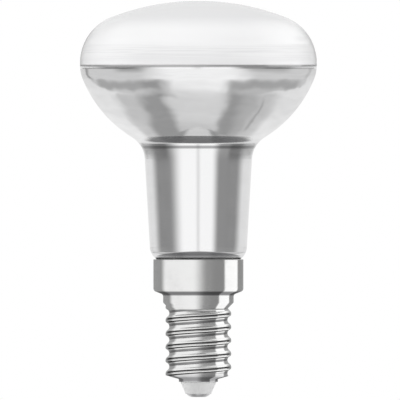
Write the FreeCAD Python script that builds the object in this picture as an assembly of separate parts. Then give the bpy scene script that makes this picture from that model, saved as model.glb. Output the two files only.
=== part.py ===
"""Reflector lamp with a small screw cap, standing upright on its centre contact.

The glass is one blown bulb: a shallow dome, a curved bowl under it and a long tapered neck.
Its neck is cemented into a nickel-plated screw shell, rolled from thin sheet. A moulded
insulator closes the shell's foot and carries the centre contact. Two lead wires run from the
sealed end of the neck, one to the contact and one to the shell.

Frame, in millimetres: Z runs up the lamp's axis, and the origin is the tip of the contact.
X runs to the right and Y away from the viewer.
"""
import FreeCAD
import Part
import math
import os
from FreeCAD import Vector

# Glass bulb: widest ring, dome above it and bowl below it
RIM_RADIUS = 25.0
RIM_HEIGHT = 70.1
RIM_LAND = 0.5
DOME_EDGE_RADIUS = 10.4
DOME_CROWN_RADIUS = 51.0
BOWL_EDGE_RADIUS = 8.0
BOWL_EDGE_TURN = 22.4
BOWL_WALL_RADIUS = 25.9
THROAT_RADIUS = 5.7

# Glass neck: a taper that is measured where it meets the shoulder over the cap
NECK_RADIUS = 10.25
NECK_TAPER = 3.3
SHOULDER_RADIUS = 3.5
SHOULDER_RISE = 2.6
TAIL_RADIUS = 8.3
TAIL_CHAMFER = 1.2
TAIL_END_RISE = 1.7
EXHAUST_TIP_RADIUS = 2.0
EXHAUST_TIP_LENGTH = 3.2

# Screw shell: sheet wall, skirt round the neck, collar over the thread
SHELL_WALL = 0.3
SKIRT_RADIUS = 9.5
SKIRT_TOP = 29.1
SKIRT_FOOT = 22.45
SKIRT_CORNER = 0.7
COLLAR_RADIUS = 7.45
COLLAR_TOP = 21.65
COLLAR_FOOT = 19.95
COLLAR_FILLET = 0.65

# Screw thread of the cap: outside diameters, pitch and the height of its first crest at the back
THREAD_CREST_DIAMETER = 13.89
THREAD_ROOT_DIAMETER = 12.29
THREAD_PITCH = 2.822
THREAD_CREST_FLAT = 0.26
THREAD_ROOT_FLAT = 0.62
THREAD_HIP_DEPTH = 0.56
THREAD_HIP_REACH = 0.62
THREAD_START = 1.3
THREAD_RUN_IN = 1.3

# Foot of the shell: a shallow cone that turns down into a lip round the insulator
FOOT_SLOPE = 15.2
FOOT_HEIGHT = 3.8
LIP_RADIUS = 4.12
LIP_LENGTH = 0.6

# Insulator and centre contact
INSULATOR_CLEARANCE = 0.04
INSULATOR_FOOT_RADIUS = 2.65
INSULATOR_TOP = 6.2
INSULATOR_RIM_GAP = 0.25
CONTACT_HEAD_RADIUS = 2.45
CONTACT_HEAD_HEIGHT = 0.62
CONTACT_FLAT_RADIUS = 1.2
CONTACT_STEM_RADIUS = 1.0
CONTACT_STEM_CLEARANCE = 0.05
RIVET_RADIUS = 1.75
RIVET_THICKNESS = 0.4

# Capping cement between the neck and the skirt
CEMENT_HEIGHT = 2.4
CEMENT_TOP_DROP = 1.5

# Lead wires
LEAD_RADIUS = 0.3
LEAD_SPREAD = 3.4
LEAD_SEAL_DEPTH = 0.8
LEAD_STRAIGHT = 3.6
LEAD_SLANT = 6.0
LEAD_CONTACT_REACH = 5.2
LEAD_WALL_GAP = 0.02

# Values that the sizes above give
CREST_RADIUS = THREAD_CREST_DIAMETER / 2
ROOT_RADIUS = THREAD_ROOT_DIAMETER / 2
SHELL_BORE = SKIRT_RADIUS - SHELL_WALL
SHOULDER_HEIGHT = SKIRT_TOP + SHOULDER_RISE
TAIL_END = SKIRT_FOOT + TAIL_END_RISE

AXIS_FOOT = Vector(0, 0, 0)
AXIS = Vector(0, 0, 1)
# How far apart two edges of the thread's strips may lie and still be sewn together
SEW_REACH = 1e-4


def point(radius, height):
    """A point of a half section, in the XZ plane."""
    return Vector(radius, 0, height)


def polar(centre, radius, degrees):
    """The point of a section at an angle round a centre, counted from +X towards +Z."""
    angle = math.radians(degrees)
    return point(centre.x + radius * math.cos(angle), centre.z + radius * math.sin(angle))


def arc(centre, radius, start, end):
    """An arc of a section between two angles in degrees."""
    middle = polar(centre, radius, (start + end) / 2)
    return Part.Arc(polar(centre, radius, start), middle, polar(centre, radius, end)).toShape()


def line(start, end):
    return Part.makeLine(start, end)


def first(edge):
    return edge.valueAt(edge.FirstParameter)


def last(edge):
    return edge.valueAt(edge.LastParameter)


def joined(curves):
    """The curves in order, with a straight line wherever one doesn't begin at the last one's end."""
    edges = [curves[0]]
    for curve in curves[1:]:
        gap = (first(curve) - last(edges[-1])).Length
        if gap > 1e-6:
            edges.append(line(last(edges[-1]), first(curve)))
        edges.append(curve)
    return edges


def rounded(corners):
    """Edges through (radius, height, fillet) corners, each corner turned by an arc of its fillet."""
    points = [point(radius, height) for radius, height, _ in corners]
    edges = []
    here = points[0]
    for index in range(1, len(points) - 1):
        corner = points[index]
        fillet = corners[index][2]
        if fillet > 0:
            back = (points[index - 1] - corner).normalize()
            ahead = (points[index + 1] - corner).normalize()
            half = back.getAngle(ahead) / 2
            reach = fillet / math.tan(half)
            towards = (back + ahead).normalize()
            middle = corner + towards * (fillet / math.sin(half) - fillet)
            edges.append(line(here, corner + back * reach))
            edges.append(Part.Arc(corner + back * reach, middle, corner + ahead * reach).toShape())
            here = corner + ahead * reach
        else:
            edges.append(line(here, corner))
            here = corner
    edges.append(line(here, points[-1]))
    return edges


def turned(edges):
    """The solid that a half section makes when it is turned once round the axis."""
    closed = edges + [line(last(edges[-1]), first(edges[0]))]
    face = Part.Face(Part.Wire(closed))
    return face.revolve(AXIS_FOOT, AXIS, 360)


def dome_curves():
    """The dome from its apex to the rim: a wide crown arc, tangent to the arc of its edge."""
    edge_centre = point(RIM_RADIUS - DOME_EDGE_RADIUS, RIM_HEIGHT + RIM_LAND)
    drop = math.sqrt((DOME_CROWN_RADIUS - DOME_EDGE_RADIUS) ** 2 - edge_centre.x**2)
    crown_centre = point(0, edge_centre.z - drop)
    meet = math.degrees(math.atan2(drop, edge_centre.x))
    return [
        arc(crown_centre, DOME_CROWN_RADIUS, 90, meet),
        arc(edge_centre, DOME_EDGE_RADIUS, meet, 0),
    ]


def bowl_curves():
    """The bowl from the rim to the neck: edge arc, wall arc and the hollow arc of the throat."""
    edge_centre = point(RIM_RADIUS - BOWL_EDGE_RADIUS, RIM_HEIGHT)
    wall_centre = polar(edge_centre, BOWL_WALL_RADIUS - BOWL_EDGE_RADIUS, 180 - BOWL_EDGE_TURN)
    taper = math.radians(NECK_TAPER)
    up_neck = point(math.sin(taper), math.cos(taper))
    out_of_neck = point(math.cos(taper), -math.sin(taper))
    neck_foot = point(NECK_RADIUS, SHOULDER_HEIGHT)
    # The throat's centre lies beside the neck and touches the wall's circle from outside.
    beside = neck_foot + out_of_neck * THROAT_RADIUS
    offset = beside - wall_centre
    along = offset.dot(up_neck)
    reach = BOWL_WALL_RADIUS + THROAT_RADIUS
    rise = -along - math.sqrt(along**2 - offset.dot(offset) + reach**2)
    throat_centre = beside + up_neck * rise
    to_throat = throat_centre - wall_centre
    meet = math.degrees(math.atan2(to_throat.z, to_throat.x))
    return [
        arc(edge_centre, BOWL_EDGE_RADIUS, 0, -BOWL_EDGE_TURN),
        arc(wall_centre, BOWL_WALL_RADIUS, -BOWL_EDGE_TURN, meet),
        arc(throat_centre, THROAT_RADIUS, 180 + meet, 180 - NECK_TAPER),
    ]


def tail_curves():
    """The shoulder over the cap, then the straight tail inside it and the stub it was pumped by."""
    centre = polar(point(NECK_RADIUS, SHOULDER_HEIGHT), -SHOULDER_RADIUS, -NECK_TAPER)
    turn = math.degrees(math.acos((TAIL_RADIUS - centre.x) / SHOULDER_RADIUS))
    stub_end = TAIL_END - EXHAUST_TIP_LENGTH
    corners = [
        (TAIL_RADIUS, polar(centre, SHOULDER_RADIUS, -turn).z, 0),
        (TAIL_RADIUS, TAIL_END + TAIL_CHAMFER, 0),
        (TAIL_RADIUS - TAIL_CHAMFER, TAIL_END, 0),
        (EXHAUST_TIP_RADIUS, TAIL_END, 0),
        (EXHAUST_TIP_RADIUS, stub_end, 0),
        (0, stub_end, 0),
    ]
    return [arc(centre, SHOULDER_RADIUS, -NECK_TAPER, -turn)] + rounded(corners)


def glass_bulb():
    """The blown bulb as one sealed solid, with a blind seal hole for each lead wire."""
    outline = joined(dome_curves() + bowl_curves() + tail_curves())
    return turned(outline).cut(centre_lead()).cut(side_lead())


def foot_height(radius):
    """Height of the underside of the shell's foot cone at a radius."""
    return FOOT_HEIGHT + (radius - LIP_RADIUS) * math.tan(math.radians(FOOT_SLOPE))


def shell_cavity():
    """The space inside the shell, one wall thickness behind its outside."""
    slope = math.radians(FOOT_SLOPE)
    floor = SHELL_WALL / math.cos(slope)
    bore = ROOT_RADIUS - SHELL_WALL
    lip_bore = LIP_RADIUS - SHELL_WALL
    collar_bore = COLLAR_RADIUS - SHELL_WALL
    step = math.atan2(SKIRT_FOOT - COLLAR_TOP, SKIRT_RADIUS - COLLAR_RADIUS)
    step_rise = SHELL_WALL * (1 - math.sin(step)) / math.cos(step)
    run_in = math.atan2(THREAD_RUN_IN, COLLAR_RADIUS - ROOT_RADIUS)
    run_in_rise = SHELL_WALL * (1 - math.sin(run_in)) / math.cos(run_in)
    corners = [
        (SHELL_BORE, SKIRT_TOP + SHELL_WALL, 0),
        (SHELL_BORE, SKIRT_FOOT + step_rise, 0),
        (collar_bore, COLLAR_TOP + step_rise, 0),
        (collar_bore, COLLAR_FOOT + run_in_rise, 0),
        (bore, COLLAR_FOOT - THREAD_RUN_IN + run_in_rise, 0),
        (bore, foot_height(bore) + floor, 0),
        (lip_bore, foot_height(lip_bore) + floor, 0),
        (lip_bore, FOOT_HEIGHT - LIP_LENGTH - SHELL_WALL, 0),
    ]
    return filled(corners)


def skirt_and_collar():
    """The outside of the shell over its thread, filled, down to the cone that runs into the root."""
    inside = ROOT_RADIUS - SHELL_WALL / 2
    share = (COLLAR_RADIUS - inside) / (COLLAR_RADIUS - ROOT_RADIUS)
    corners = [
        (SKIRT_RADIUS, SKIRT_TOP, 0),
        (SKIRT_RADIUS, SKIRT_FOOT, SKIRT_CORNER),
        (COLLAR_RADIUS, COLLAR_TOP, COLLAR_FILLET),
        (COLLAR_RADIUS, COLLAR_FOOT, 0),
        (inside, COLLAR_FOOT - share * THREAD_RUN_IN, 0),
    ]
    return filled(corners)


def under_foot():
    """All the space under the shell's foot cone and round its turned-down lip."""
    clear = COLLAR_RADIUS
    low = min(0, thread_start()) - THREAD_PITCH
    lip_end = FOOT_HEIGHT - LIP_LENGTH
    corners = [
        (clear, foot_height(clear), 0),
        (LIP_RADIUS, FOOT_HEIGHT, 0),
        (LIP_RADIUS, lip_end, 0),
        (0, lip_end, 0),
        (0, low, 0),
        (clear, low, 0),
    ]
    return turned(rounded(corners))


def thread_profile():
    """One ridge in half section as (radius, height over its lower foot), from foot to foot.

    Each flank is steep by the narrow crest and shallow by the wide root.
    """
    ridge = THREAD_PITCH - THREAD_ROOT_FLAT
    middle = ridge / 2
    crest = THREAD_CREST_FLAT / 2
    hip = CREST_RADIUS - THREAD_HIP_DEPTH
    return [
        (ROOT_RADIUS, 0),
        (hip, middle - THREAD_HIP_REACH),
        (CREST_RADIUS, middle - crest),
        (CREST_RADIUS, middle + crest),
        (hip, middle + THREAD_HIP_REACH),
        (ROOT_RADIUS, ridge),
    ]


def thread_start():
    """Height of the lower foot of the ridge where it starts, at the back."""
    return THREAD_START - (THREAD_PITCH - THREAD_ROOT_FLAT) / 2


def thread_turns():
    """As many whole turns as bring the ridge's end into the collar."""
    return math.ceil((COLLAR_FOOT - THREAD_RUN_IN - THREAD_START) / THREAD_PITCH)


def one_turn(radius, height, rise):
    """One turn of a right-hand helix that starts at the back, or a circle if it doesn't rise."""
    if rise > 0:
        curve = Part.makeHelix(rise, rise, radius)
    else:
        curve = Part.Wire(Part.makeCircle(radius))
    curve.rotate(AXIS_FOOT, AXIS, 90)
    curve.translate(Vector(0, 0, height))
    return curve.Edges[0]


def ruled_strips(curves):
    return [Part.makeRuledSurface(low, high) for low, high in zip(curves, curves[1:])]


def ridge_end(height):
    """The flat end of the ridge, in the plane through the axis at the back."""
    points = [Vector(0, radius, height + rise) for radius, rise in thread_profile()]
    return Part.Face(Part.makePolygon(points + points[:1]))


def threaded_rod():
    """A rod with the helical ridge all round it.

    Every turn of the ridge and of the root beside it is a row of ruled strips that share their
    helices. At each end, helices of a lower rise fan out from the ridge to a plain circle.
    """
    ridge = THREAD_PITCH - THREAD_ROOT_FLAT
    start = thread_start()
    faces = []
    for turn in range(thread_turns()):
        foot = start + turn * THREAD_PITCH
        curves = [one_turn(radius, foot + rise, THREAD_PITCH) for radius, rise in thread_profile()]
        if turn + 1 < thread_turns():
            curves.append(one_turn(ROOT_RADIUS, foot + THREAD_PITCH, THREAD_PITCH))
        faces += ruled_strips(curves)
    last_foot = start + thread_turns() * THREAD_PITCH
    top = last_foot + ridge
    fan_below = [(start, 0), (start, ridge), (start, THREAD_PITCH)]
    fan_above = [(top - THREAD_PITCH, THREAD_PITCH), (last_foot, ridge), (top, 0)]
    for fan in (fan_below, fan_above):
        faces += ruled_strips([one_turn(ROOT_RADIUS, height, rise) for height, rise in fan])
    faces += [ridge_end(start), ridge_end(last_foot)]
    faces += [Part.Face(Part.Wire([one_turn(ROOT_RADIUS, height, 0)])) for height in (start, top)]
    skin = Part.makeCompound(faces)
    skin.sewShape(SEW_REACH)
    return Part.makeSolid(skin.Shells[0])


def filled(corners):
    """The solid between a row of rounded corners and the axis."""
    edges = rounded(corners)
    edges.append(line(last(edges[-1]), point(0, corners[-1][1])))
    edges.append(line(last(edges[-1]), point(0, corners[0][1])))
    return turned(edges)


def screw_shell():
    """Skirt, collar, rolled thread and turned-down lip, all of one sheet."""
    body = threaded_rod().cut(under_foot()).fuse(skirt_and_collar())
    return body.cut(shell_cavity())


def capping_cement():
    """The ring of cement that holds the neck's tail in the skirt."""
    top = SKIRT_TOP - CEMENT_TOP_DROP
    outer = Part.makeCylinder(SHELL_BORE, CEMENT_HEIGHT, point(0, top - CEMENT_HEIGHT))
    return outer.cut(Part.makeCylinder(TAIL_RADIUS, CEMENT_HEIGHT, point(0, top - CEMENT_HEIGHT)))


def base_insulator():
    """The moulded plug: a disc on the shell's foot, and a cone that carries the contact."""
    slope = math.radians(FOOT_SLOPE)
    floor = SHELL_WALL / math.cos(slope)
    rim = ROOT_RADIUS - SHELL_WALL - INSULATOR_RIM_GAP
    waist = LIP_RADIUS - SHELL_WALL - INSULATOR_CLEARANCE
    hole = CONTACT_STEM_RADIUS + CONTACT_STEM_CLEARANCE
    corners = [
        (hole, INSULATOR_TOP, 0),
        (rim, INSULATOR_TOP, 0),
        (rim, foot_height(rim) + floor, 0),
        (waist, foot_height(waist) + floor, 0),
        (waist, FOOT_HEIGHT - LIP_LENGTH, 0),
        (INSULATOR_FOOT_RADIUS, CONTACT_HEAD_HEIGHT, 0),
        (hole, CONTACT_HEAD_HEIGHT, 0),
    ]
    return turned(rounded(corners))


def centre_contact():
    """The contact: a domed head with a flat tip, a stem through the insulator and its rivet."""
    spread = CONTACT_HEAD_RADIUS - CONTACT_FLAT_RADIUS
    dome = (spread**2 + CONTACT_HEAD_HEIGHT**2) / (2 * CONTACT_HEAD_HEIGHT)
    dome_centre = point(CONTACT_FLAT_RADIUS, dome)
    lift = math.degrees(math.atan2(CONTACT_HEAD_HEIGHT - dome, spread))
    rivet_top = INSULATOR_TOP + RIVET_THICKNESS
    edges = [
        line(point(0, 0), point(CONTACT_FLAT_RADIUS, 0)),
        arc(dome_centre, dome, -90, lift),
        line(
            point(CONTACT_HEAD_RADIUS, CONTACT_HEAD_HEIGHT),
            point(CONTACT_STEM_RADIUS, CONTACT_HEAD_HEIGHT),
        ),
        line(point(CONTACT_STEM_RADIUS, INSULATOR_TOP), point(RIVET_RADIUS, INSULATOR_TOP)),
        line(point(RIVET_RADIUS, rivet_top), point(0, rivet_top)),
    ]
    return turned(joined(edges)).cut(centre_lead())


def wire(points):
    """A round lead wire through points, bent sharply at each one between its ends."""
    run = Part.makePolygon(points)
    heading = points[1] - points[0]
    section = Part.Wire(Part.makeCircle(LEAD_RADIUS, points[0], heading))
    sharp_corners = 1
    return run.makePipeShell([section], True, False, sharp_corners)


def centre_lead():
    """The lead that leaves the seal on the left, slants to the axis and drops into the contact."""
    bend = TAIL_END - LEAD_STRAIGHT
    foot = INSULATOR_TOP + RIVET_THICKNESS - LEAD_CONTACT_REACH
    return wire(
        [
            point(-LEAD_SPREAD, TAIL_END + LEAD_SEAL_DEPTH),
            point(-LEAD_SPREAD, bend),
            point(0, bend - LEAD_SLANT),
            point(0, foot),
        ]
    )


def side_lead():
    """The lead that leaves the seal on the right and turns out to the wall of the collar."""
    level = (COLLAR_TOP + COLLAR_FOOT) / 2
    wall = COLLAR_RADIUS - SHELL_WALL - LEAD_WALL_GAP
    return wire(
        [
            point(LEAD_SPREAD, TAIL_END + LEAD_SEAL_DEPTH),
            point(LEAD_SPREAD, level),
            point(wall, level),
        ]
    )


def main():
    """Build each sub-part and write it to its own file."""
    os.makedirs("parts", exist_ok=True)
    pieces = {
        "glass_bulb": glass_bulb(),
        "capping_cement": capping_cement(),
        "screw_shell": screw_shell(),
        "base_insulator": base_insulator(),
        "centre_contact": centre_contact(),
        "centre_lead": centre_lead(),
        "side_lead": side_lead(),
    }
    for name, shape in pieces.items():
        shape.exportStep(f"parts/{name}.step")


if __name__ == "__main__":
    main()
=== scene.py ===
"""Looks of the reflector bulb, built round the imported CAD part.

The frame is the CAD's: Z runs up the lamp's axis from the tip of its contact, X to the right and
Y away from the viewer. Lengths in the data classes are millimetres.
"""

import logging
import math
from collections.abc import Sequence
from dataclasses import dataclass, field
from enum import Enum

import bmesh
import bpy
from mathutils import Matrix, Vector


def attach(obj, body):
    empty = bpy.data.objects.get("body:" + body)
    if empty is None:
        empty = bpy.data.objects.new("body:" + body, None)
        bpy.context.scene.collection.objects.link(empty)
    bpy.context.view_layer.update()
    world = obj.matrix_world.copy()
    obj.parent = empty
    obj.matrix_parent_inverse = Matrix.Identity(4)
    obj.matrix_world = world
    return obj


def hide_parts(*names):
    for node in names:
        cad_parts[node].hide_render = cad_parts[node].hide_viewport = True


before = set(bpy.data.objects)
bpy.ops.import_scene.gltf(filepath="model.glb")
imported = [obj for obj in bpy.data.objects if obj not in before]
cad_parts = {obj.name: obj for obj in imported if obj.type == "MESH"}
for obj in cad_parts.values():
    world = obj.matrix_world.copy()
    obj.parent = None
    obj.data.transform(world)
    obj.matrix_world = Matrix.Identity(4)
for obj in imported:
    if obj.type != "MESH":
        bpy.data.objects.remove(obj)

MM = 0.001
# Millimetres from the end of a straight run to the loop that keeps its shading flat
HOLD = 0.04
# Millimetres within which two points become one
WELD = 0.002
BODY = "root"

log = logging.getLogger("reflector_bulb")


class Node(Enum):
    """The CAD nodes of the part."""

    GLASS = "glass_bulb"
    CEMENT = "capping_cement"
    SHELL = "screw_shell"
    INSULATOR = "base_insulator"
    CONTACT = "centre_contact"
    CENTRE_LEAD = "centre_lead"
    SIDE_LEAD = "side_lead"


class Slot(Enum):
    """The record's material slots."""

    GLASS = "bulb_glass"
    CEMENT = "cement"
    SHELL = "plated_shell"
    INSULATOR = "insulator"
    CONTACT = "contact_metal"
    LEAD = "lead_wire"


# --- shader graphs -------------------------------------------------------------------------------


class Field:
    """A number that varies over a surface: a node socket that Python's operators work on."""

    def __init__(self, graph: "Graph", socket: bpy.types.NodeSocket) -> None:
        """Wraps one output socket of a graph."""
        self.graph = graph
        self.socket = socket

    def __add__(self, other: "Field | float") -> "Field":
        """Sum."""
        return self.graph.math("ADD", self, other)

    __radd__ = __add__

    def __sub__(self, other: "Field | float") -> "Field":
        """Difference."""
        return self.graph.math("SUBTRACT", self, other)

    def __rsub__(self, other: float) -> "Field":
        """Difference, the number first."""
        return self.graph.math("SUBTRACT", other, self)

    def __mul__(self, other: "Field | float") -> "Field":
        """Product."""
        return self.graph.math("MULTIPLY", self, other)

    __rmul__ = __mul__

    def __truediv__(self, other: "Field | float") -> "Field":
        """Quotient."""
        return self.graph.math("DIVIDE", self, other)

    def __rtruediv__(self, other: float) -> "Field":
        """Quotient, the number first."""
        return self.graph.math("DIVIDE", other, self)

    def __neg__(self) -> "Field":
        """The number with its sign turned."""
        return self.graph.math("MULTIPLY", self, -1.0)

    def __abs__(self) -> "Field":
        """The number without its sign."""
        return self.graph.math("ABSOLUTE", self)

    def rise(self, low: float, high: float) -> "Field":
        """Goes smoothly from 0 at low to 1 at high.

        Args:
            low: the value below which the result is 0.
            high: the value above which the result is 1.

        Returns:
            The eased step.
        """
        step = self.graph.node(
            "ShaderNodeMapRange",
            {"interpolation_type": "SMOOTHSTEP"},
            {"Value": self, "From Min": low, "From Max": high},
        )
        return Field(self.graph, step.outputs["Result"])

    def band(self, low: float, high: float, soft: float) -> "Field":
        """Is 1 between low and high and 0 outside them.

        Args:
            low: middle of the rising edge.
            high: middle of the falling edge.
            soft: half the width of each edge.

        Returns:
            The band.
        """
        return self.rise(low - soft, low + soft) * (1 - self.rise(high - soft, high + soft))

    def towards(self, other: "Field | float", share: "Field | float") -> "Field":
        """Blends from this number to another one.

        Args:
            other: the number that is reached at a share of 1.
            share: how far the blend has gone.

        Returns:
            The blend.
        """
        return self + (other - self) * share


class Graph:
    """The node tree of a material or of the world."""

    def __init__(self, tree: bpy.types.NodeTree) -> None:
        """Empties the tree and starts a new graph in it."""
        tree.nodes.clear()
        self.tree = tree

    def node(
        self,
        kind: str,
        settings: dict[str, object] | None = None,
        inputs: dict[str | int, object] | None = None,
    ) -> bpy.types.Node:
        """Adds a node.

        Args:
            kind: the node's type.
            settings: its properties, which are set first.
            inputs: values or links for its sockets, by name or index.

        Returns:
            The node.
        """
        made = self.tree.nodes.new(kind)
        for name, value in (settings or {}).items():
            setattr(made, name, value)
        for name, value in (inputs or {}).items():
            source = value.socket if isinstance(value, Field) else value
            if isinstance(source, bpy.types.NodeSocket):
                self.tree.links.new(source, made.inputs[name])
            else:
                made.inputs[name].default_value = source
        return made

    def math(self, operation: str, *operands: "Field | float") -> Field:
        """Adds a Math node over numbers and fields."""
        made = self.node("ShaderNodeMath", {"operation": operation}, dict(enumerate(operands)))
        return Field(self, made.outputs[0])

    def vector_math(self, operation: str, *operands: object) -> bpy.types.NodeSocket:
        """Adds a Vector Math node and gives its vector."""
        inputs = dict(enumerate(operands))
        return self.node("ShaderNodeVectorMath", {"operation": operation}, inputs).outputs[0]

    def axes(self, vector: bpy.types.NodeSocket) -> tuple[Field, Field, Field]:
        """Splits a vector into its three numbers."""
        parts = self.node("ShaderNodeSeparateXYZ", {}, {0: vector}).outputs
        return Field(self, parts[0]), Field(self, parts[1]), Field(self, parts[2])

    def joined(self, x: Field | float, y: Field | float, z: Field | float) -> bpy.types.NodeSocket:
        """Makes a vector of three numbers."""
        return self.node("ShaderNodeCombineXYZ", {}, {0: x, 1: y, 2: z}).outputs[0]

    def colours(
        self,
        low: tuple[float, ...] | bpy.types.NodeSocket,
        high: tuple[float, ...] | bpy.types.NodeSocket,
        share: Field,
    ) -> bpy.types.NodeSocket:
        """Blends two colours by a field.

        Args:
            low: the colour at a share of 0, as numbers or a socket.
            high: the colour at a share of 1, as numbers or a socket.
            share: how far the blend has gone.

        Returns:
            The blend.
        """
        inputs = {"Factor": share, 6: low, 7: high}
        return self.node("ShaderNodeMix", {"data_type": "RGBA"}, inputs).outputs[2]

    def noise(
        self, vector: bpy.types.NodeSocket, scale: float, detail: float = 2.0, rough: float = 0.5
    ) -> Field:
        """Adds smooth noise about 0.5.

        Args:
            vector: where the noise is read.
            scale: how many lumps there are in a unit of the vector.
            detail: octaves of finer noise.
            rough: how strong the finer octaves are.

        Returns:
            The noise.
        """
        made = self.node(
            "ShaderNodeTexNoise",
            {"noise_dimensions": "3D"},
            {"Vector": vector, "Scale": scale, "Detail": detail, "Roughness": rough},
        )
        return Field(self, made.outputs["Fac"])


class Surface(Graph):
    """A material's graph, with the object's coordinates in millimetres and its shader."""

    def __init__(self, name: str, constants: dict[str, object]) -> None:
        """Starts a material.

        Args:
            name: the material's name.
            constants: values set on the shader's own sockets.
        """
        self.material = bpy.data.materials.new(name)
        self.material.use_nodes = True
        super().__init__(self.material.node_tree)
        place = self.node("ShaderNodeTexCoord").outputs["Object"]
        self.place = self.vector_math("MULTIPLY", place, (1 / MM, 1 / MM, 1 / MM))
        self.x, self.y, self.z = self.axes(self.place)
        self.shader = self.node("ShaderNodeBsdfPrincipled", {}, constants)
        self.node("ShaderNodeOutputMaterial", {}, {"Surface": self.shader.outputs["BSDF"]})

    def radius(self) -> Field:
        """Distance from the lamp's axis, in millimetres."""
        return self.math("SQRT", self.x * self.x + self.y * self.y)

    def round_the_axis(self, along: float, up: float) -> bpy.types.NodeSocket:
        """Gives a vector for patterns that run round the axis.

        Args:
            along: how much the pattern changes round the axis.
            up: how much it changes with height.

        Returns:
            The vector.
        """
        return self.joined(self.x * along, self.y * along, self.z * up)

    def lean(self) -> Field:
        """How far the surface faces up, in degrees."""
        normal = self.node("ShaderNodeNewGeometry").outputs["Normal"]
        return self.math("ARCSINE", self.axes(normal)[2]) * math.degrees(1)

    def leaning(self, lean: Field) -> bpy.types.NodeSocket:
        """Gives the normal of a round wall that faces up by an angle.

        Args:
            lean: the angle in degrees.

        Returns:
            The normal.
        """
        tilt = lean * math.radians(1)
        out = self.math("COSINE", tilt) / self.radius()
        return self.joined(self.x * out, self.y * out, self.math("SINE", tilt))

    def feed(self, name: str, value: Field | bpy.types.NodeSocket) -> None:
        """Links a varying value to a socket of the shader."""
        source = value.socket if isinstance(value, Field) else value
        self.tree.links.new(source, self.shader.inputs[name])

    def bump(
        self, height: Field, depth: float, base: bpy.types.NodeSocket | None = None
    ) -> None:
        """Feeds a relief to the shader's normal.

        Args:
            height: the relief, where 1 is a full depth.
            depth: that depth in millimetres.
            base: the normal that the relief stands on, where it isn't the surface's own.
        """
        inputs = {"Strength": 1.0, "Distance": depth * MM, "Height": height}
        relief = self.node("ShaderNodeBump", {}, inputs | ({"Normal": base} if base else {}))
        self.tree.links.new(relief.outputs["Normal"], self.shader.inputs["Normal"])


# --- finishes ------------------------------------------------------------------------------------


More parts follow.
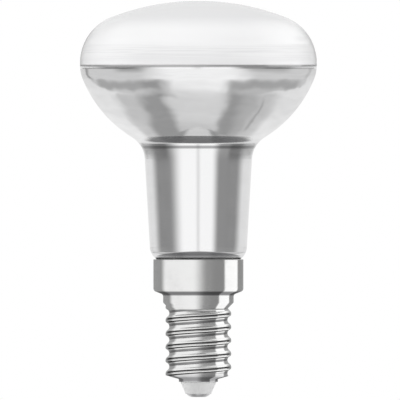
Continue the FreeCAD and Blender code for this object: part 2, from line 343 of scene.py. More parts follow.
@dataclass(frozen=True)
class MirroredGlass:
    """Blown glass: a satin white dome, a mirror coat under it and a bare foot over the cap. Shade
    is painted dark on the bare foot, and dark reflections are painted as rings at the throat and
    near the top of the neck.

    The mirror lies on the inner wall, which runs straight a little further than the outer one
    before it turns at the throat and at the shoulder. Heights are millimetres along the axis and
    leans are degrees upwards.
    """

    white: tuple[float, ...] = (0.92, 0.92, 0.925, 1.0)
    # A dimmer white, towards which the dome darkens at the crown, in fine streaks and just above
    # the rim
    dimmer_white: tuple[float, ...] = (0.74, 0.74, 0.75, 1.0)
    silver: tuple[float, ...] = (0.94, 0.94, 0.945, 1.0)
    seam: tuple[float, ...] = (0.46, 0.46, 0.465, 1.0)
    # Colour of the painted shade and of the painted dark reflections
    dark: tuple[float, ...] = (0.09, 0.09, 0.095, 1.0)
    rim: float = 70.12
    seam_height: float = 69.95
    seam_half: float = 0.32
    throat_ring: float = 54.5
    throat_fade: tuple[float, float] = (0.35, 1.35)
    painted_throat_share: float = 0.70
    neck_ring: float = 52.8
    ring_fade: tuple[float, float] = (0.15, 0.45)
    painted_ring_share: float = 0.62
    neck_lean: float = -3.3
    straight_from: float = 30.5
    straight_to: float = 53.65
    turn_from: float = 48.8
    turn_to: float = 52.4
    turn: float = 1.2
    coat_end: float = 30.3
    painted_foot_share: float = 0.80
    crown_dimming: tuple[float, float] = (77.5, 81.0)
    rim_dimming: tuple[float, float] = (70.7, 72.6)
    fine_lines: tuple[float, float] = (71.9, 74.0)
    dome_roughness: float = 0.42
    mirror_roughness: float = 0.10
    relief: float = 0.02

    def clear(self, level: Field, slant: Field) -> Field:
        """Paints shade dark where the mirror coat ends above the skirt, and a dark reflection as a
        ring at the throat, both fading where the glass is seen edge-on.

        Args:
            level: height along the axis, in millimetres.
            slant: how far the glass is turned away from the view, from 0 to 1.

        Returns:
            The share of painted shade and painted dark reflection; the mirror is weakened there
            too.
        """
        # Painted dark reflection: a ring at the throat
        throat = self.painted_throat_share * (1 - abs(level - self.throat_ring).rise(*self.throat_fade))
        # Painted shade: the bare foot just above the skirt
        foot = self.painted_foot_share * (1 - level.rise(self.coat_end - 0.75, self.coat_end + 0.85))
        depth = 0.64 + level.rise(self.coat_end - 0.8, self.coat_end - 0.2) * 0.29
        return (throat + foot - slant).rise(0.0, 0.15) * depth

    def painted_ring(self, level: Field) -> Field:
        """A painted dark reflection: a line where the mirror starts to turn, near the top of the
        neck.
        """
        return self.painted_ring_share * (1 - abs(level - self.neck_ring).rise(*self.ring_fade))

    def material(self) -> bpy.types.Material:
        """Builds the material.

        Returns:
            The material.
        """
        made = Surface(
            "mirrored_glass", {"IOR": 1.5, "Coat Weight": 1.0, "Coat Roughness": 0.04}
        )
        level = made.z + (made.noise(made.place, 0.18, 1.0) - 0.5) * 0.05
        dome = level.rise(self.rim - 0.1, self.rim + 0.1)
        seam = 1 - abs(level - self.seam_height).rise(self.seam_half * 0.6, self.seam_half * 1.2)
        grain = made.noise(made.place, 9.0, 3.0, 0.7)
        streak = made.noise(made.round_the_axis(0.05, 3.1), 1.0, 3.0, 0.6)
        # The dome is darker towards the crown and just above the rim, and has fine streaks
        crown = made.z.rise(*self.crown_dimming) * (0.78 + grain.rise(0.45, 0.75) * 0.15)
        lines = streak.rise(0.47, 0.64) * made.z.band(*self.fine_lines, 1.5) * 0.5
        over_rim = (1 - made.z.rise(*self.rim_dimming)) * 0.35
        white = made.colours(self.white, self.dimmer_white, crown + lines + over_rim)
        glass = made.colours(self.silver, white, dome)
        slant = Field(made, made.node("ShaderNodeLayerWeight").outputs["Facing"])
        # The share of painted shade and painted dark reflection
        clear = self.clear(level, slant)
        seamed = made.colours(glass, self.seam, seam)
        # The painted shade and the painted dark reflections go into the colour here
        made.feed("Base Color", made.colours(seamed, self.dark, clear + self.painted_ring(level)))
        # The mirror is weakened where dark is painted, and at the seam
        made.feed("Metallic", (1 - dome) * (1 - clear * 0.8 - seam * 0.4))
        satin = self.dome_roughness + (grain - 0.5) * 0.12
        mirror = self.mirror_roughness + (streak - 0.5) * 0.05
        made.feed("Roughness", mirror + (satin - mirror) * dome)
        straight = made.z.band(self.straight_from, self.straight_to, 0.2)
        neck = self.neck_lean - made.z.rise(self.turn_from, self.turn_to) * self.turn
        wall = made.leaning(made.lean().towards(neck, straight))
        waves = made.noise(made.round_the_axis(0.22, 0.16), 1.0, 1.0)
        made.bump(waves + streak * 0.015 + grain * dome * 0.01, self.relief, wall)
        return made.material


@dataclass(frozen=True)
class NickelPlate:
    """Bright nickel over rolled sheet, with shade painted dark under the skirt and in the roots of
    the thread.

    The plate is thicker on faces that look down and in the roots, which rounds them: they shine
    like faces that stand more upright. Heights and radii are millimetres, leans are degrees.
    """

    bright: tuple[float, ...] = (0.93, 0.93, 0.925, 1.0)
    dull: tuple[float, ...] = (0.45, 0.45, 0.46, 1.0)
    # Colour of the painted shade, also used for a darker band at the lip
    painted_dark: tuple[float, ...] = (0.10, 0.10, 0.105, 1.0)
    groove: float = 21.88
    skirt_top: float = 28.7
    thread_top: float = 18.5
    thread_waist: float = 6.52
    root_radius: float = 6.145
    root_lean: float = 28.5
    crest_lean: float = 23.8
    steepest_lean: float = 42.0
    collar_top: float = 21.2
    foot: tuple[float, float] = (3.9, 5.2)
    lip: tuple[float, float] = (3.4, 4.2)
    roughness: float = 0.12
    relief: float = 0.004

    def shown_lean(self, made: Surface, lean: Field, thread: Field) -> Field:
        """How far the plate's surface faces up.

        Args:
            made: the material.
            lean: how far the sheet under it faces up, in degrees.
            thread: is 1 on the thread.

        Returns:
            The plate's angle in degrees.
        """
        under = made.math("MINIMUM", lean, 0.0)
        rounded = lean.rise(-88, -80) * (1 - made.z.rise(self.skirt_top, self.skirt_top + 0.2))
        waist = made.radius().rise(self.thread_waist - 0.1, self.thread_waist + 0.1)
        in_root = lean.rise(0, 2) * (1 - waist) * thread
        at_crest = (1 - lean.rise(-14, -6)) * waist * thread
        smooth = made.z.band(self.thread_top, self.collar_top, 0.2)
        plate = (lean - under * rounded) * (1 - smooth)
        plate = made.math("MINIMUM", plate, self.steepest_lean)
        return plate.towards(self.crest_lean, at_crest).towards(self.root_lean, in_root)

    def material(self) -> bpy.types.Material:
        """Builds the material.

        Returns:
            The material.
        """
        made = Surface("nickel_plate", {"Metallic": 1.0, "IOR": 1.5})
        cloud = made.noise(made.place, 0.45, 3.0, 0.6)
        lines = made.noise(made.round_the_axis(0.06, 14.0), 1.0, 3.0, 0.65)
        specks = made.noise(made.place, 11.0, 2.0, 0.7).rise(0.68, 0.8)
        thread = 1 - made.z.rise(self.thread_top - 0.2, self.thread_top + 0.2)
        lean = made.lean()
        # Painted dark reflection on the steepest flanks of the thread
        painted_steep_dark = lean.rise(46, 53) * thread
        foot = 1 - made.z.rise(*self.foot)
        # Random specks and clouds of wear, a duller foot, and the painted dark reflection on the
        # steepest flanks
        wear_and_painted_reflection = painted_steep_dark * 0.25 + foot * 0.75 + specks * 0.1 + cloud.rise(0.55, 0.8) * 0.05
        plate = made.colours(self.bright, self.dull, wear_and_painted_reflection)
        # Painted shade: a dark line in the roots of the thread, on the lower flanks
        deep = 1 - made.radius().rise(self.root_radius + 0.07, self.root_radius + 0.17)
        root = deep * (1 - lean.rise(0, 6)) * thread * made.z.rise(4.8, 5.2)
        # Painted shade in the groove under the skirt
        shade_under_skirt = 1 - abs(made.z - self.groove).rise(0.2, 0.62)
        painted_dark_share = root * 0.7 + shade_under_skirt * 0.85 + made.z.band(*self.lip, 0.12) * 0.45
        # The painted shade and the darker lip band go into the colour here
        made.feed("Base Color", made.colours(plate, self.painted_dark, painted_dark_share))
        rough = self.roughness + (lines - 0.5) * 0.08 + (cloud - 0.5) * 0.06 + root * 0.08
        made.feed("Roughness", rough)
        wall = made.leaning(self.shown_lean(made, lean, thread))
        made.bump(lines * 0.04 + cloud * 0.15, self.relief, wall)
        return made.material


@dataclass(frozen=True)
class MouldedInsulator:
    """White moulded insulator with a fine, slightly mottled skin."""

    pale: tuple[float, ...] = (0.85, 0.85, 0.85, 1.0)
    shade: tuple[float, ...] = (0.79, 0.79, 0.785, 1.0)
    roughness: float = 0.34
    relief: float = 0.01

    def material(self) -> bpy.types.Material:
        """Builds the material.

        Returns:
            The material.
        """
        made = Surface("moulded_insulator", {"IOR": 1.5, "Coat Weight": 0.15})
        mottle = made.noise(made.place, 1.3, 3.0, 0.6)
        grain = made.noise(made.place, 14.0, 2.0, 0.6)
        made.feed("Base Color", made.colours(self.pale, self.shade, mottle.rise(0.4, 0.8) * 0.6))
        made.feed("Roughness", self.roughness + (grain - 0.5) * 0.15)
        made.bump(mottle * 0.5 + grain * 0.3, self.relief)
        return made.material


@dataclass(frozen=True)
class TinnedMetal:
    """Tinned contact metal with soft swirls and small dull specks."""

    name: str = "tinned_metal"
    bright: tuple[float, ...] = (0.76, 0.76, 0.77, 1.0)
    dull: tuple[float, ...] = (0.58, 0.58, 0.59, 1.0)
    roughness: float = 0.3
    relief: float = 0.02

    def material(self) -> bpy.types.Material:
        """Builds the material.

        Returns:
            The material.
        """
        made = Surface(self.name, {"Metallic": 1.0, "IOR": 1.5})
        swirl = made.noise(made.place, 1.6, 4.0, 0.6)
        specks = made.noise(made.place, 12.0, 2.0, 0.6).rise(0.6, 0.75)
        made.feed("Base Color", made.colours(self.bright, self.dull, swirl * 0.5 + specks * 0.4))
        made.feed("Roughness", self.roughness + (swirl - 0.5) * 0.2 + specks * 0.1)
        made.bump(swirl + specks * 0.2, self.relief)
        return made.material


@dataclass(frozen=True)
class CappingCement:
    """Baked capping cement, pale, dry and pitted."""

    pale: tuple[float, ...] = (0.62, 0.58, 0.50, 1.0)
    pit: tuple[float, ...] = (0.34, 0.31, 0.26, 1.0)
    roughness: float = 0.8
    relief: float = 0.08

    def material(self) -> bpy.types.Material:
        """Builds the material.

        Returns:
            The material.
        """
        made = Surface("capping_cement", {"IOR": 1.45})
        lump = made.noise(made.place, 2.2, 4.0, 0.65)
        pits = made.noise(made.place, 7.0, 3.0, 0.6).rise(0.56, 0.7)
        made.feed("Base Color", made.colours(self.pale, self.pit, pits * 0.6 + lump * 0.3))
        made.feed("Roughness", self.roughness + (lump - 0.5) * 0.2)
        made.bump(lump - pits * 0.5, self.relief)
        return made.material


# --- shapes --------------------------------------------------------------------------------------


def at(radius: float, height: float) -> Vector:
    """A point of a half section, in metres."""
    return Vector((radius * MM, 0.0, height * MM))


class Section:
    """A half section in the XZ plane that grows from one point and is then turned into a piece."""

    def __init__(self, radius: float, height: float) -> None:
        """Starts a section at a point."""
        self.mesh = bmesh.new()
        self.tip = self.mesh.verts.new(at(radius, height))

    def line(self, radius: float, height: float, hold: float = 0.0) -> "Section":
        """Draws a straight line.

        Args:
            radius: where the line ends.
            height: where the line ends.
            hold: distance from each end of a point that keeps the shading flat between them.

        Returns:
            The section, for the next call.
        """
        start, end = self.tip.co.copy(), at(radius, height)
        share = hold * MM / (end - start).length
        stops = [share, 1 - share, 1.0] if 0 < share < 0.3 else [1.0]
        for stop in stops:
            made = bmesh.ops.extrude_vert_indiv(self.mesh, verts=[self.tip])
            self.tip = made["verts"][0]
            self.tip.co = start.lerp(end, stop)
        return self

    def arc(self, radius: float, height: float, degrees: float, steps: int) -> "Section":
        """Turns the section's tip round a centre.

        Args:
            radius: the centre's distance from the axis.
            height: the centre's height.
            degrees: the turn, from +X towards +Z where it is positive.
            steps: how many edges the arc has.

        Returns:
            The section, for the next call.
        """
        made = bmesh.ops.spin(
            self.mesh,
            geom=[self.tip],
            cent=at(radius, height),
            axis=(0, -1, 0),
            angle=math.radians(degrees),
            steps=steps,
        )
        self.tip = made["geom_last"][0]
        return self

    def path(self, corners: Sequence[tuple[float, float, float]], steps: int = 6) -> "Section":
        """Draws lines through corners, each turned by an arc.

        Args:
            corners: radius, height and fillet of each corner; the last one's fillet isn't used.
            steps: how many edges each arc has.

        Returns:
            The section, for the next call.
        """
        for corner, after in zip(corners, corners[1:]):
            here, there = at(*corner[:2]), at(*after[:2])
            back = (self.tip.co - here).normalized()
            ahead = (there - here).normalized()
            if corner[2] <= 0:
                self.line(*corner[:2], HOLD)
                continue
            opening = back.angle(ahead)
            fillet = corner[2] * MM
            start = here + back * (fillet / math.tan(opening / 2))
            centre = here + (back + ahead).normalized() * (fillet / math.sin(opening / 2))
            turn = math.degrees(math.pi - opening)
            sign = 1 if back.cross(ahead).y > 0 else -1
            self.line(start.x / MM, start.z / MM, HOLD)
            self.arc(centre.x / MM, centre.z / MM, sign * turn, steps)
        return self.line(*corners[-1][:2], HOLD)

    def turned(self, steps: int, turns: float = 1.0, rise: float = 0.0) -> bmesh.types.BMesh:
        """Turns the section round the axis, and up it where it rises.

        Args:
            steps: faces round one turn.
            turns: how many turns are made.
            rise: millimetres gained in a turn.

        Returns:
            The turned shape, with its doubles merged.
        """
        whole = turns == 1.0 and rise == 0.0
        bmesh.ops.spin(
            self.mesh,
            geom=self.mesh.verts[:] + self.mesh.edges[:],
            cent=(0, 0, 0),
            axis=(0, 0, 1),
            dvec=(0, 0, rise * MM / steps),
            angle=math.tau * turns,
            steps=round(steps * turns),
            use_merge=whole,
        )
        bmesh.ops.remove_doubles(self.mesh, verts=self.mesh.verts, dist=WELD * MM)
        bmesh.ops.recalc_face_normals(self.mesh, faces=self.mesh.faces)
        return self.mesh


def finished(
    name: str, meshes: Sequence[bmesh.types.BMesh], keen: float = 50.0
) -> bpy.types.Object:
    """Puts shapes into one smooth-shaded object.

    Args:
        name: the object's name.
        meshes: the shapes, which are freed.
        keen: degrees between two faces over which their edge stays sharp.

    Returns:
        The object, linked to the scene.
    """
    whole = bmesh.new()
    for shape in meshes:
        for face in shape.faces:
            face.smooth = True
        for edge in shape.edges:
            edge.smooth = edge.calc_face_angle(0.0) < math.radians(keen)
        part = bpy.data.meshes.new(name + "_part")
        shape.to_mesh(part)
        shape.free()
        whole.from_mesh(part)
        bpy.data.meshes.remove(part)
    mesh = bpy.data.meshes.new(name)
    whole.to_mesh(mesh)
    whole.free()
    made = bpy.data.objects.new(name, mesh)
    bpy.context.scene.collection.objects.link(made)
    return made


def dressed(
    made: bpy.types.Object, material: bpy.types.Material, slot: Slot, *nodes: Node
) -> bpy.types.Object:
    """Gives a piece its material and its place in the part.

    Args:
        made: the piece.
        material: what it is made of.
        slot: the record's slot of its finish; not used.
        nodes: CAD nodes that it stands for, none where it is a CAD node itself.

    Returns:
        The piece.
    """
    made.data.materials.clear()
    made.data.materials.append(material)
    if nodes:
        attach(made, BODY)
        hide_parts(*(node.value for node in nodes))
    log.info("%s: %d faces", made.name, len(made.data.polygons))
    return made


# --- sub-assemblies ------------------------------------------------------------------------------


@dataclass
class GlassBulb:
    """The blown bulb: tangent arcs for dome and bowl, a tapered neck and a shoulder."""

    rim_radius: float = 25.0
    rim_height: float = 70.1
    rim_land: float = 0.5
    dome_edge: float = 10.4
    dome_crown: float = 51.0
    bowl_edge: float = 8.0
    bowl_edge_turn: float = 22.4
    bowl_wall: float = 25.9
    throat: float = 5.7
    neck_radius: float = 10.25
    neck_height: float = 31.7
    neck_taper: float = 3.3
    shoulder: float = 3.5
    tail_radius: float = 8.3
    tail_end: float = 24.15
    tail_fillet: float = 1.0
    segments: int = 224
    dome_steps: int = 34
    edge_steps: int = 12
    bowl_steps: int = 36
    throat_steps: int = 20
    shoulder_steps: int = 18
    finish: MirroredGlass = field(default_factory=MirroredGlass)

    def section(self) -> Section:
        """Draws the half section from the dome's apex to the end of the tail.

        Returns:
            The section.
        """
        edge_x = self.rim_radius - self.dome_edge
        drop = math.sqrt((self.dome_crown - self.dome_edge) ** 2 - edge_x**2)
        crown_z = self.rim_height + self.rim_land - drop
        meet = math.degrees(math.atan2(drop, edge_x))
        drawn = Section(0.0, crown_z + self.dome_crown)
        drawn.arc(0.0, crown_z, meet - 90, self.dome_steps)
        drawn.arc(edge_x, self.rim_height + self.rim_land, -meet, self.dome_steps)
        drawn.line(self.rim_radius, self.rim_height, HOLD)

        edge = Vector((self.rim_radius - self.bowl_edge, self.rim_height))
        turn = math.radians(self.bowl_edge_turn)
        inward = Vector((-math.cos(turn), math.sin(turn)))
        wall = edge + inward * (self.bowl_wall - self.bowl_edge)
        taper = math.radians(self.neck_taper)
        up_neck = Vector((math.sin(taper), math.cos(taper)))
        beside = Vector((self.neck_radius, self.neck_height)) + self.throat * Vector(
            (math.cos(taper), -math.sin(taper))
        )
        offset = beside - wall
        along = offset.dot(up_neck)
        reach = self.bowl_wall + self.throat
        rise = -along - math.sqrt(along**2 - offset.dot(offset) + reach**2)
        throat = beside + up_neck * rise
        meet = math.degrees(math.atan2((throat - wall).y, (throat - wall).x))
        drawn.arc(*edge, -self.bowl_edge_turn, self.edge_steps)
        drawn.arc(*wall, meet + self.bowl_edge_turn, self.bowl_steps)
        drawn.arc(*throat, -self.neck_taper - meet, self.throat_steps)

        centre_x = self.neck_radius - self.shoulder * math.cos(taper)
        centre_z = self.neck_height + self.shoulder * math.sin(taper)
        drawn.line(self.neck_radius, self.neck_height, HOLD)
        end = math.degrees(math.acos((self.tail_radius - centre_x) / self.shoulder))
        drawn.arc(centre_x, centre_z, self.neck_taper - end, self.shoulder_steps)
        tail = (self.tail_radius, self.tail_end, self.tail_fillet)
        return drawn.path([tail, (0.0, self.tail_end, 0.0)])

    def build(self) -> bpy.types.Object:
        """Builds and dresses the bulb."""
        made = finished("bulb_envelope", [self.section().turned(self.segments)])
        return dressed(made, self.finish.material(), Slot.GLASS, Node.GLASS)


@dataclass
class ScrewShell:
    """The rolled shell: skirt and collar over a right-hand thread, and a foot with its lip."""

    wall: float = 0.3
    skirt_radius: float = 9.5
    skirt_top: float = 29.1
    skirt_foot: float = 22.45
    inner_wall: float = 3.2
    brim_fillet: float = 0.13
    skirt_fillet: float = 0.7
    collar_radius: float = 7.45
    collar_top: float = 21.65
    collar_fillet: float = 0.65
    collar_foot: float = 19.95
    run_in_fillet: float = 0.3
    run_in: float = 1.3
    overlap: float = 0.15
    crest_radius: float = 6.945
    root_radius: float = 6.145
    pitch: float = 2.822
    first_crest: float = 0.5945
    under_share: float = 0.44
    under_bend: float = 0.45
    upper_bend: float = 1.1
    foot_slope: float = 15.2
    foot_height: float = 3.8
    foot_fillet: float = 0.22
    foot_overlap: float = 0.1
    lip_radius: float = 4.12
    lip_length: float = 0.6
    lip_bore: float = 1.2
    lip_fillets: tuple[float, float] = (0.08, 0.06)
    turns: float = 7.5
    fold: float = 0.03
    least_shrink: float = 0.2
    spare_depth: float = 2.0
    segments: int = 160
    under_steps: int = 8
    upper_steps: int = 12
    keen: float = 35.0
    finish: NickelPlate = field(default_factory=NickelPlate)

    def foot(self, radius: float) -> float:
        """Height of the foot's cone at a radius."""
        rise = math.tan(math.radians(self.foot_slope))
        return self.foot_height + (radius - self.lip_radius) * rise

    def upper(self) -> bmesh.types.BMesh:
        """Builds the skirt with its inner wall, the collar and the run-in to the thread.

        Returns:
            The turned shape.
        """
        bore = self.skirt_radius - self.wall
        inside = self.root_radius - self.overlap
        end = self.collar_foot - self.run_in - self.overlap
        drawn = Section(bore, self.skirt_top - self.inner_wall)
        drawn.path(
            [
                (bore, self.skirt_top, self.brim_fillet),
                (self.skirt_radius, self.skirt_top, self.brim_fillet),
                (self.skirt_radius, self.skirt_foot, self.skirt_fillet),
                (self.collar_radius, self.collar_top, self.collar_fillet),
                (self.collar_radius, self.collar_foot, self.run_in_fillet),
                (inside, end, 0.0),
            ]
        )
        return drawn.turned(self.segments)

    def lower(self) -> bmesh.types.BMesh:
        """Builds the foot's cone and its turned-down lip.

        Returns:
            The turned shape.
        """
        end = self.foot_height - self.lip_length
        bore = self.lip_radius - self.wall
        start = self.root_radius + self.foot_overlap
        outer, inner = self.lip_fillets
        drawn = Section(start, self.foot(start))
        drawn.path(
            [
                (self.lip_radius, self.foot_height, self.foot_fillet),
                (self.lip_radius, end, outer),
                (bore, end, inner),
                (bore, end + self.lip_bore, 0.0),
            ]
        )
        return drawn.turned(self.segments)

    def flank(self, depth: float, span: float) -> tuple[float, float]:
        """Finds the two arcs of a flank, which meet at its steepest point.

        Args:
            depth: from the root's radius to the crest's.
            span: height of the flank.

        Returns:
            The sum of the arcs' radii, and the degrees that each of them turns.
        """
        bends = (span**2 + depth**2) / (2 * depth)
        return bends, math.degrees(math.acos((bends - depth) / bends))

    def thread(self) -> bmesh.types.BMesh:
        """Builds the thread by screwing up one pitch's section; its start folds onto the foot.

        Returns:
            The screwed shape.
        """
        depth = self.crest_radius - self.root_radius
        low = self.first_crest - self.pitch * self.under_share
        drawn = Section(self.root_radius, low)
        under, turn = self.flank(depth, self.pitch * self.under_share)
        drawn.arc(self.root_radius + under - self.under_bend, low, -turn, self.under_steps)
        drawn.arc(self.crest_radius - self.under_bend, self.first_crest, turn, self.under_steps)
        upper, turn = self.flank(depth, self.pitch * (1 - self.under_share))
        drawn.arc(self.crest_radius - self.upper_bend, self.first_crest, turn, self.upper_steps)
        root = self.root_radius + upper - self.upper_bend
        drawn.arc(root, low + self.pitch, -turn, self.upper_steps)
        made = drawn.turned(self.segments, self.turns, self.pitch)
        spare = []
        for vertex in made.verts:
            radius = math.hypot(vertex.co.x, vertex.co.y) / MM
            under = self.foot(radius) - vertex.co.z / MM
            if under > 0:
                shrink = max(self.least_shrink, 1 - under / radius)
                vertex.co.x *= shrink
                vertex.co.y *= shrink
                vertex.co.z = (self.foot(radius * shrink) + self.fold) * MM
                if under > self.spare_depth:
                    spare.append(vertex)
        bmesh.ops.delete(made, geom=spare, context="VERTS")
        bmesh.ops.recalc_face_normals(made, faces=made.faces)
        return made

    def build(self) -> bpy.types.Object:
        """Builds and dresses the shell."""
        made = finished("cap_shell", [self.upper(), self.thread(), self.lower()], self.keen)
        return dressed(made, self.finish.material(), Slot.SHELL, Node.SHELL)


@dataclass
class Insulator:
    """The moulded plug under the shell, a cone with softened edges."""

    top_radius: float = 3.78
    top: float = 3.9
    waist: float = 3.2
    foot_radius: float = 2.65
    foot: float = 0.62
    fillet: float = 0.12
    segments: int = 128
    finish: MouldedInsulator = field(default_factory=MouldedInsulator)

    def build(self) -> bpy.types.Object:
        """Builds and dresses the insulator.

        Returns:
            The insulator.
        """
        drawn = Section(0.0, self.top)
        drawn.path(
            [
                (self.top_radius, self.top, 0.0),
                (self.top_radius, self.waist, self.fillet),
                (self.foot_radius, self.foot, self.fillet),
                (0.0, self.foot, 0.0),
            ]
        )
        made = finished("insulator_plug", [drawn.turned(self.segments)])
        return dressed(made, self.finish.material(), Slot.INSULATOR, Node.INSULATOR)


@dataclass
class Contact:
    """The centre contact: a shallow dome with a flat tip and a rolled edge."""

    radius: float = 2.45
    height: float = 0.62
    flat: float = 1.2
    edge: float = 0.1
    segments: int = 128
    dome_steps: int = 12
    finish: TinnedMetal = field(default_factory=TinnedMetal)

    def build(self) -> bpy.types.Object:
        """Builds and dresses the contact.

        Returns:
            The contact.
        """
        spread = self.radius - self.flat
        bend = (spread**2 + self.height**2) / (2 * self.height)
        turn = math.degrees(math.asin(spread / bend))
        drawn = Section(0.0, 0.0).line(self.flat, 0.0)
        drawn.arc(self.flat, bend, turn, self.dome_steps)
        drawn.line(self.radius - self.edge, self.height + self.edge)
        drawn.line(0.0, self.height + self.edge)
        made = finished("contact_button", [drawn.turned(self.segments)])
        return dressed(made, self.finish.material(), Slot.CONTACT, Node.CONTACT)


@dataclass
class HiddenPieces:
    """The cement and the two lead wires, which keep their CAD shapes."""

    cement: CappingCement = field(default_factory=CappingCement)
    wire: TinnedMetal = field(
        default_factory=lambda: TinnedMetal(
            "drawn_wire", (0.70, 0.69, 0.66, 1.0), (0.55, 0.53, 0.50, 1.0), 0.26
        )
    )

    def build(self) -> None:
        """Dresses the CAD nodes."""
        wire = self.wire.material()
        dressed(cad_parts[Node.CEMENT.value], self.cement.material(), Slot.CEMENT)
        dressed(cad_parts[Node.CENTRE_LEAD.value], wire, Slot.LEAD)
        dressed(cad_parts[Node.SIDE_LEAD.value], wire, Slot.LEAD)


# --- studio --------------------------------------------------------------------------------------


class StudioLight(Graph):
    """Soft boxes and dark flags all round, laid out by the slope of the surface that shows them.

    A direction is turned into the surface normal that would show it to someone in front of the
    lamp: side is the normal's angle round the axis, to the right, and lift its angle upwards.
    The numbers in the bands are such angles in degrees, and shares of full brightness.
    """

    table_side: float = 74.0
    table_down: float = 31.8

    def __init__(self, tree: bpy.types.NodeTree) -> None:
        """Starts the world's graph."""
        super().__init__(tree)
        ray = self.node("ShaderNodeTexCoord").outputs["Generated"]
        self.half = self.vector_math("NORMALIZE", self.vector_math("ADD", ray, (0.0, -1.0, 0.0)))
        x, y, z = self.axes(self.half)
        self.side = self.math("ARCTAN2", x, -y) * math.degrees(1)
        self.lift = self.math("ARCSINE", z) * math.degrees(1)
        self.facing = -y

    def cap_band(self) -> Field:
        """What upright metal shows: a wide soft box at the left and a narrow one at the right.

        Returns:
            The brightness.
        """
        broad = self.side.rise(-57, -46) * (1 - self.side.rise(-8, 12))
        narrow = self.side.band(36, 60.5, 1.5)
        dark = 0.30 - self.side.rise(0, 20) * 0.04
        return dark + broad * 0.64 + narrow * 0.86 + self.side.rise(74, 84) * 0.08

    def neck_band(self) -> Field:
        """What the neck shows: twin boxes in front, dark flags, a pale room behind.

        The flags are darker and wider lower down, which the top of the neck shows.

        Returns:
            The brightness.
        """
        front = self.side.rise(-34, -16) * (1 - self.side.rise(14, 24))
        gap = self.side.band(-1.8, 1.2, 2)
        behind = (1 - self.side.rise(-63, -48)) + self.side.rise(45, 60)
        aside, lift = abs(self.side), self.lift
        low = aside.band(34, 62.5, 3.5) * (1 - lift.rise(-4.35, -3.55)) * 0.66
        low = low + aside.band(62.5, 78.5, 3.5) * (1 - lift.rise(-4.35, -4.0)) * 0.74
        return (0.27 + front * 0.72 - gap * 0.26 + behind * 0.53) * (1 - low)

    def far_table(self, side: Field, down: Field) -> Field:
        """The far half of the table: two boxes' feet with a bright aisle between them.

        Args:
            side: the normal's angle round the axis.
            down: its angle downwards.

        Returns:
            The brightness.
        """
        flags = side.band(-44, -28, 4) * 0.25 + side.band(24, 50, 4) * 0.17
        far = 0.61 + side.band(-22, 23, 10) * 0.30 - flags * (1 - down.rise(6, 14))
        pool = side.band(-15.5, 14, 5) * (0.48 - down.rise(26.5, 29.5) * 0.14)
        dim = 0.37 + pool + abs(side).rise(58, 66) * 0.2
        dim = dim - side.band(-29, -19, 3) * 0.07
        line = abs(side).rise(14, 26) * (0.2 - side.rise(5, 15) * 0.09)
        dim = dim + down.rise(26.8, 28.2) * line
        return far.towards(dim, down.rise(20.5, 24.3))

    def near_table(self, side: Field, down: Field) -> Field:
        """The near half of the table: dark in two wedges, paler to the sides.

        Args:
            side: the normal's angle round the axis.
            down: its angle downwards.

        Returns:
            The brightness.
        """
        spread = side * (0.41 + self.math("MINIMUM", down, 46.0) * 0.018)
        middle = spread.band(-17.5, 15.7, 4) * (0.34 - down.rise(42, 57) * 0.16)
        crease = (side + down * 0.045).band(39.2, 41.4, 0.8) * down.band(34, 53, 3)
        notch = side.band(-20, -11.5, 2.5) * down.band(29.5, 32.3, 1)
        middle = middle - crease * 0.2 - notch * 0.2
        left = 0.23 * (1 - side.rise(-38, -29)) + 0.22 * (1 - side.rise(-55, -46))
        right = side.rise(20, 31) * 0.12 + side.rise(31, 38) * 0.1 + side.rise(44, 55) * 0.2
        return 0.31 + middle + left + right + down.rise(40, 50) * abs(side).rise(30, 50) * 0.06

    def bowl_band(self) -> Field:
        """What the bowl shows: the table's two halves and the paler room round its edge.

        Returns:
            The brightness.
        """
        wave = (self.noise(self.half, 5.0, 3.0) - 0.5) * self.lift.rise(-8, -16)
        side = self.side + wave * 14
        down = wave * 8 - self.lift
        reach = abs(side) / self.table_side
        oval = reach * reach + self.math("POWER", down / self.table_down, 6.0)
        rim = oval.band(0.88, 0.99, 0.05) * (1 - down.rise(18, 24))
        rim = rim * ((1 - side.rise(-66, -56)) * 0.3 + side.rise(60, 68) * 0.12)
        room = 0.64 + down.rise(12, 34) * 0.15
        past_edge = oval.rise(0.97, 1.03) * abs(side).rise(20, 40)
        beyond = (self.far_table(side, down) - rim).towards(room, past_edge)
        table = beyond.towards(self.near_table(side, down), down.rise(28.8, 31.8))
        streaks = self.noise(self.joined(side * 0.05, down * 0.3, 0.0), 1.0, 3.0, 0.6) - 0.5
        return table * (1.02 + streaks * down.rise(5, 12) * 0.3)

    def above(self) -> Field:
        """What faces that look up show: a dark line, the boxes' upper ends and the ceiling.

        Between the ends runs a band like that of upright metal, which the thread's roots show.

        Returns:
            The brightness.
        """
        side, lift = self.side, self.lift
        line = (lift - side * side * 0.0003).band(0.7, 20.8, 1.4)
        ends = 0.42 + side.rise(-60, -48) * 0.5 - side.rise(-12, 6) * 0.1
        ends = ends + side.rise(30, 38) * 0.22 - side.rise(78, 84) * 0.6
        shown = ends.towards(self.cap_band() * 0.92 + 0.06, lift.band(26.3, 32, 1.0))
        return shown.towards(0.85, lift.rise(54, 62)) * (1 - line * 0.95)

    def level(self) -> Field:
        """Puts the bands together and darkens what lies behind and above the lamp.

        Returns:
            The brightness.
        """
        under = self.bowl_band().towards(self.neck_band(), self.lift.rise(-6, -4.6))
        shown = under.towards(self.cap_band(), self.lift.rise(-1.9, -1.2))
        shown = shown.towards(self.above(), self.lift.rise(1.2, 3))
        edge = (1 - self.facing.rise(0.2, 0.4)) * self.lift.rise(1.5, 5.0)
        return shown.towards(0.35 + self.lift.rise(25, 60) * 0.5, edge)


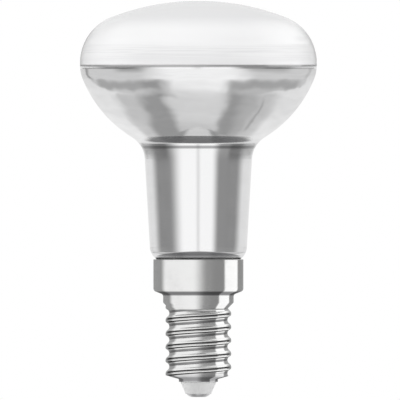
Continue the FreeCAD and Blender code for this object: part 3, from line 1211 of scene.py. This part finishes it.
@dataclass(frozen=True)
class SoftLamp:
    """A soft lamp that lights matt surfaces and isn't mirrored."""

    name: str
    place: tuple[float, float, float]
    watts: float
    size: float = 260.0

    def hang(self, height: float) -> None:
        """Hangs the lamp, aimed at a point of the axis.

        Args:
            height: the point's height in millimetres.
        """
        data = bpy.data.lights.new(self.name, "AREA")
        data.shape = "DISK"
        data.size = self.size * MM
        data.energy = self.watts
        made = bpy.data.objects.new(self.name, data)
        bpy.context.scene.collection.objects.link(made)
        made.location = Vector(self.place) * MM
        aim = Vector((0.0, 0.0, height)) * MM - made.location
        made.rotation_euler = aim.to_track_quat("-Z", "Y").to_euler()
        made.visible_glossy = False


@dataclass
class Studio:
    """Floor, light and camera, which aren't part of the object."""

    floor_radius: float = 1500.0
    floor_gap: float = 0.02
    floor_colour: tuple[float, ...] = (0.90, 0.90, 0.90, 1.0)
    floor_shade: tuple[float, ...] = (0.88, 0.88, 0.88, 1.0)
    paper: tuple[float, ...] = (1.0, 1.0, 1.0, 1.0)
    view_width: float = 84.5
    aim_x: float = 0.34
    aim_z: float = 41.62
    distance: float = 600.0
    clip: tuple[float, float] = (10.0, 10000.0)
    lamps: tuple[SoftLamp, ...] = (
        SoftLamp("left_lamp", (-520.0, -210.0, 245.0), 1.73),
        SoftLamp("right_lamp", (480.0, -280.0, 245.0), 1.67),
    )

    def floor(self) -> None:
        """Lays a plain pale floor under the contact."""
        shape = bmesh.new()
        bmesh.ops.create_circle(shape, cap_ends=True, segments=128, radius=self.floor_radius * MM)
        made = finished("floor", [shape])
        made.location.z = -self.floor_gap * MM
        surface = Surface("floor_paint", {"Roughness": 0.9, "Specular IOR Level": 0.2})
        grain = surface.noise(surface.place, 0.02, 2.0)
        surface.feed("Base Color", surface.colours(self.floor_colour, self.floor_shade, grain))
        made.data.materials.append(surface.material)
        made.visible_glossy = False

    def light(self) -> None:
        """Sets the soft boxes, and plain white behind the lamp for the camera."""
        world = bpy.data.worlds.new("studio")
        world.use_nodes = True
        bpy.context.scene.world = world
        graph = StudioLight(world.node_tree)
        white = {"Color": self.paper}
        boxes = graph.node("ShaderNodeBackground", {}, white | {"Strength": graph.level()})
        paper = graph.node("ShaderNodeBackground", {}, white)
        seen = graph.node("ShaderNodeLightPath").outputs["Is Camera Ray"]
        shaders = {0: seen, 1: boxes.outputs[0], 2: paper.outputs[0]}
        mixed = graph.node("ShaderNodeMixShader", {}, shaders)
        graph.node("ShaderNodeOutputWorld", {}, {"Surface": mixed.outputs[0]})

    def camera(self) -> None:
        """Places the camera level with the lamp, without perspective, as in the photo."""
        data = bpy.data.cameras.new("camera")
        data.type = "ORTHO"
        data.ortho_scale = self.view_width * MM
        data.clip_start, data.clip_end = (limit * MM for limit in self.clip)
        made = bpy.data.objects.new("camera", data)
        bpy.context.scene.collection.objects.link(made)
        made.location = (self.aim_x * MM, -self.distance * MM, self.aim_z * MM)
        made.rotation_euler = (math.pi / 2, 0.0, 0.0)
        bpy.context.scene.camera = made

    def build(self) -> None:
        """Builds the studio."""
        bpy.context.scene.view_settings.view_transform = "Standard"
        self.floor()
        self.light()
        for lamp in self.lamps:
            lamp.hang(self.aim_z)
        self.camera()


def main() -> None:
    """Builds and dresses the pieces in order, from the glass down to the contact."""
    logging.basicConfig(level=logging.INFO, format="%(message)s")
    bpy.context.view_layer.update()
    GlassBulb().build()
    ScrewShell().build()
    Insulator().build()
    Contact().build()
    HiddenPieces().build()
    Studio().build()


if __name__ == "__main__":
    main()
